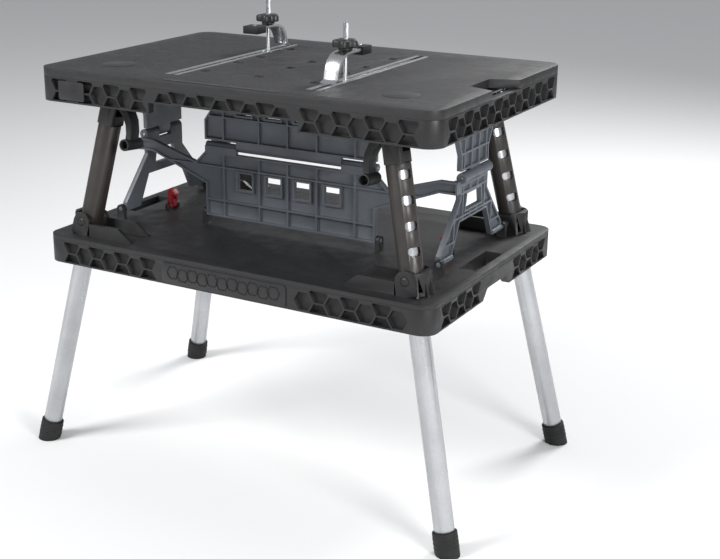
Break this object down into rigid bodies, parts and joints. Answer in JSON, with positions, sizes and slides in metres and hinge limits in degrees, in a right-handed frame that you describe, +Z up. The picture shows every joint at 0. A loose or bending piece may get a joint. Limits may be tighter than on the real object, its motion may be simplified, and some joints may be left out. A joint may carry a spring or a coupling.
{
  "type": "folding workbench",
  "caption": "Folding workbench with a clamping work top, lower tool shelf, collapsing bifold panels and splayed folding legs with sliding feet.",
  "frame": {"origin": "floor level under the middle of the bench", "axes": "+X along the length, +Y to the rear, +Z up"},
  "size_m": [0.9797, 0.5832, 0.9],
  "materials": {
    "black_plastic": "fine moulded grain",
    "sleeve_plastic": "satin moulded",
    "grey_plastic": "satin moulded",
    "aluminium": "anodised, lightly brushed",
    "steel": "zinc plated",
    "rubber": "ribbed rubber",
    "red_plastic": "satin moulded"
  },
  "bodies": {
    "shelf": {"shelf_tray": "black_plastic", "shelf_skirt_front": "black_plastic", "shelf_skirt_rear": "black_plastic", "shelf_skirt_left": "black_plastic", "shelf_skirt_right": "black_plastic"},
    "left_lower": {"end_panel_lower_left": "grey_plastic", "end_hinge_pin_left": "steel"},
    "left_upper": {"end_panel_upper_left": "grey_plastic"},
    "right_lower": {"end_panel_lower_right": "grey_plastic", "end_hinge_pin_right": "steel"},
    "right_upper": {"end_panel_upper_right": "grey_plastic"},
    "top": {"top_deck": "black_plastic", "track_left": "aluminium", "track_right": "aluminium", "top_skirt_front": "black_plastic", "top_skirt_rear": "black_plastic", "top_skirt_left": "black_plastic", "top_skirt_right": "black_plastic"},
    "centre_lower": {"centre_panel_lower": "grey_plastic", "centre_hinge_pin": "steel"},
    "centre_upper": {"centre_panel_upper": "grey_plastic"},
    "sleeve_front_left": {"leg_sleeve_front_left": "sleeve_plastic", "sleeve_core_front_left": "aluminium", "leg_head_front_left": "black_plastic"},
    "lever_front_left": {"lock_lever_front_left": "black_plastic"},
    "tube_front_left": {"leg_tube_front_left": "aluminium"},
    "foot_front_left": {"foot_tube_front_left": "aluminium", "foot_front_left": "rubber"},
    "sleeve_front_right": {"leg_sleeve_front_right": "sleeve_plastic", "sleeve_core_front_right": "aluminium", "leg_head_front_right": "black_plastic"},
    "lever_front_right": {"lock_lever_front_right": "black_plastic"},
    "tube_front_right": {"leg_tube_front_right": "aluminium"},
    "foot_front_right": {"foot_tube_front_right": "aluminium", "foot_front_right": "rubber"},
    "sleeve_rear_left": {"leg_sleeve_rear_left": "sleeve_plastic", "sleeve_core_rear_left": "aluminium", "leg_head_rear_left": "black_plastic"},
    "lever_rear_left": {"lock_lever_rear_left": "black_plastic"},
    "tube_rear_left": {"leg_tube_rear_left": "aluminium"},
    "foot_rear_left": {"foot_tube_rear_left": "aluminium", "foot_rear_left": "rubber"},
    "sleeve_rear_right": {"leg_sleeve_rear_right": "sleeve_plastic", "sleeve_core_rear_right": "aluminium", "leg_head_rear_right": "black_plastic"},
    "lever_rear_right": {"lock_lever_rear_right": "black_plastic"},
    "tube_rear_right": {"leg_tube_rear_right": "aluminium"},
    "foot_rear_right": {"foot_tube_rear_right": "aluminium", "foot_rear_right": "rubber"},
    "latch_left": {"latch_left": "red_plastic"},
    "latch_right": {"latch_right": "red_plastic"},
    "clamp_right": {"clamp_bolt_right": "steel", "clamp_strap_right": "aluminium", "clamp_pad_right": "rubber"},
    "knob_right": {"clamp_knob_right": "black_plastic"},
    "clamp_left": {"clamp_bolt_left": "steel", "clamp_strap_left": "aluminium", "clamp_pad_left": "rubber"},
    "knob_left": {"clamp_knob_left": "black_plastic"}
  },
  "joints": [
    {"name": "fold", "type": "hinge", "parent": "shelf", "child": "centre_lower", "pos_m": [0, -0.045, 0.485], "axis": [1, 0, 0], "range_deg": [0, 87.35]},
    {"name": "centre_knee", "type": "hinge", "parent": "centre_lower", "child": "centre_upper", "pos_m": [0, -0.045, 0.6255], "axis": [-1, 0, 0], "range_deg": [0, 174.8]},
    {"name": "top_drop", "type": "hinge", "parent": "centre_upper", "child": "top", "pos_m": [0, -0.045, 0.766], "axis": [1, 0, 0], "range_deg": [0, 87.4]},
    {"name": "left_fold", "type": "hinge", "parent": "shelf", "child": "left_lower", "pos_m": [-0.362, 0.022, 0.485], "axis": [0, 1, 0], "range_deg": [0, 87.4]},
    {"name": "left_knee", "type": "hinge", "parent": "left_lower", "child": "left_upper", "pos_m": [-0.362, 0.022, 0.6255], "axis": [0, -1, 0], "range_deg": [0, 174.8]},
    {"name": "right_fold", "type": "hinge", "parent": "shelf", "child": "right_lower", "pos_m": [0.362, 0.022, 0.485], "axis": [0, -1, 0], "range_deg": [0, 87.4]},
    {"name": "right_knee", "type": "hinge", "parent": "right_lower", "child": "right_upper", "pos_m": [0.362, 0.022, 0.6255], "axis": [0, 1, 0], "range_deg": [0, 174.8]},
    {"name": "sleeve_fold_front_left", "type": "hinge", "parent": "shelf", "child": "sleeve_front_left", "pos_m": [-0.3589, -0.22039, 0.486], "axis": [0, 0.9951, -0.0985], "range_deg": [0, 77.62]},
    {"name": "lever_swing_front_left", "type": "hinge", "parent": "sleeve_front_left", "child": "lever_front_left", "pos_m": [-0.2973, -0.1965, 0.72724], "axis": [0, -0.9951, 0.0985], "range_deg": [0, 143.97]},
    {"name": "tube_fold_front_left", "type": "hinge", "parent": "shelf", "child": "tube_front_left", "pos_m": [-0.37108, -0.22583, 0.431], "axis": [0, -0.9951, 0.0985], "range_deg": [0, 102.42]},
    {"name": "foot_extend_front_left", "type": "slide", "parent": "tube_front_left", "child": "foot_front_left", "axis": [-0.2152, -0.0962, -0.9718], "range_m": [0, 0.075]},
    {"name": "sleeve_fold_front_right", "type": "hinge", "parent": "shelf", "child": "sleeve_front_right", "pos_m": [0.3589, -0.22039, 0.486], "axis": [0, -0.9951, 0.0985], "range_deg": [0, 77.62]},
    {"name": "lever_swing_front_right", "type": "hinge", "parent": "sleeve_front_right", "child": "lever_front_right", "pos_m": [0.2973, -0.1965, 0.72724], "axis": [0, 0.9951, -0.0985], "range_deg": [0, 143.97]},
    {"name": "tube_fold_front_right", "type": "hinge", "parent": "shelf", "child": "tube_front_right", "pos_m": [0.37108, -0.22583, 0.431], "axis": [0.2076, 0.9769, -0.0507], "range_deg": [0, 103.32]},
    {"name": "foot_extend_front_right", "type": "slide", "parent": "tube_front_right", "child": "foot_front_right", "axis": [0.2152, -0.0962, -0.9718], "range_m": [0, 0.075]},
    {"name": "sleeve_fold_rear_left", "type": "hinge", "parent": "shelf", "child": "sleeve_rear_left", "pos_m": [-0.3589, 0.22039, 0.486], "axis": [0, 0.9951, 0.0985], "range_deg": [0, 77.62]},
    {"name": "lever_swing_rear_left", "type": "hinge", "parent": "sleeve_rear_left", "child": "lever_rear_left", "pos_m": [-0.2973, 0.1965, 0.72724], "axis": [0, -0.9951, -0.0985], "range_deg": [0, 143.97]},
    {"name": "tube_fold_rear_left", "type": "hinge", "parent": "shelf", "child": "tube_rear_left", "pos_m": [-0.37108, 0.22583, 0.431], "axis": [0, -0.9951, -0.0985], "range_deg": [0, 102.42]},
    {"name": "foot_extend_rear_left", "type": "slide", "parent": "tube_rear_left", "child": "foot_rear_left", "axis": [-0.2152, 0.0962, -0.9718], "range_m": [0, 0.075]},
    {"name": "sleeve_fold_rear_right", "type": "hinge", "parent": "shelf", "child": "sleeve_rear_right", "pos_m": [0.3589, 0.22039, 0.486], "axis": [0, -0.9951, -0.0985], "range_deg": [0, 77.62]},
    {"name": "lever_swing_rear_right", "type": "hinge", "parent": "sleeve_rear_right", "child": "lever_rear_right", "pos_m": [0.2973, 0.1965, 0.72724], "axis": [0, 0.9951, 0.0985], "range_deg": [0, 143.97]},
    {"name": "tube_fold_rear_right", "type": "hinge", "parent": "shelf", "child": "tube_rear_right", "pos_m": [0.37108, 0.22583, 0.431], "axis": [-0.2076, 0.9769, 0.0507], "range_deg": [0, 103.32]},
    {"name": "foot_extend_rear_right", "type": "slide", "parent": "tube_rear_right", "child": "foot_rear_right", "axis": [0.2152, 0.0962, -0.9718], "range_m": [0, 0.075]},
    {"name": "latch_swing_left", "type": "hinge", "parent": "shelf", "child": "latch_left", "pos_m": [-0.322, 0, 0.47], "axis": [0, -1, 0], "range_deg": [0, 14], "stiffness_Nm_per_rad": 0.4},
    {"name": "latch_swing_right", "type": "hinge", "parent": "shelf", "child": "latch_right", "pos_m": [0.322, 0, 0.47], "axis": [0, 1, 0], "range_deg": [0, 14], "stiffness_Nm_per_rad": 0.4},
    {"name": "clamp_slide_right", "type": "slide", "parent": "top", "child": "clamp_right", "axis": [0, 1, 0], "range_m": [-0.045, 0.24]},
    {"name": "knob_turn_right", "type": "hinge", "parent": "clamp_right", "child": "knob_right", "pos_m": [0.153, -0.1, 0.856], "axis": [0, 0, 1], "continuous": true},
    {"name": "clamp_slide_left", "type": "slide", "parent": "top", "child": "clamp_left", "axis": [0, 1, 0], "range_m": [-0.26, 0.025]},
    {"name": "knob_turn_left", "type": "hinge", "parent": "clamp_left", "child": "knob_left", "pos_m": [-0.153, 0.12, 0.856], "axis": [0, 0, 1], "continuous": true}
  ],
  "couplings": [
    {"joint": "centre_knee", "follows": "fold", "ratio": 2},
    {"joint": "top_drop", "follows": "fold", "ratio": 1},
    {"joint": "left_fold", "follows": "fold", "ratio": 1},
    {"joint": "left_knee", "follows": "fold", "ratio": 2},
    {"joint": "right_fold", "follows": "fold", "ratio": 1},
    {"joint": "right_knee", "follows": "fold", "ratio": 2},
    {"joint": "sleeve_fold_front_left", "follows": "fold", "ratio": 0.88811},
    {"joint": "lever_swing_front_left", "follows": "fold", "ratio": 1.6477},
    {"joint": "sleeve_fold_front_right", "follows": "fold", "ratio": 0.88811},
    {"joint": "lever_swing_front_right", "follows": "fold", "ratio": 1.6477},
    {"joint": "sleeve_fold_rear_left", "follows": "fold", "ratio": 0.88811},
    {"joint": "lever_swing_rear_left", "follows": "fold", "ratio": 1.6477},
    {"joint": "sleeve_fold_rear_right", "follows": "fold", "ratio": 0.88811},
    {"joint": "lever_swing_rear_right", "follows": "fold", "ratio": 1.6477}
  ]
}
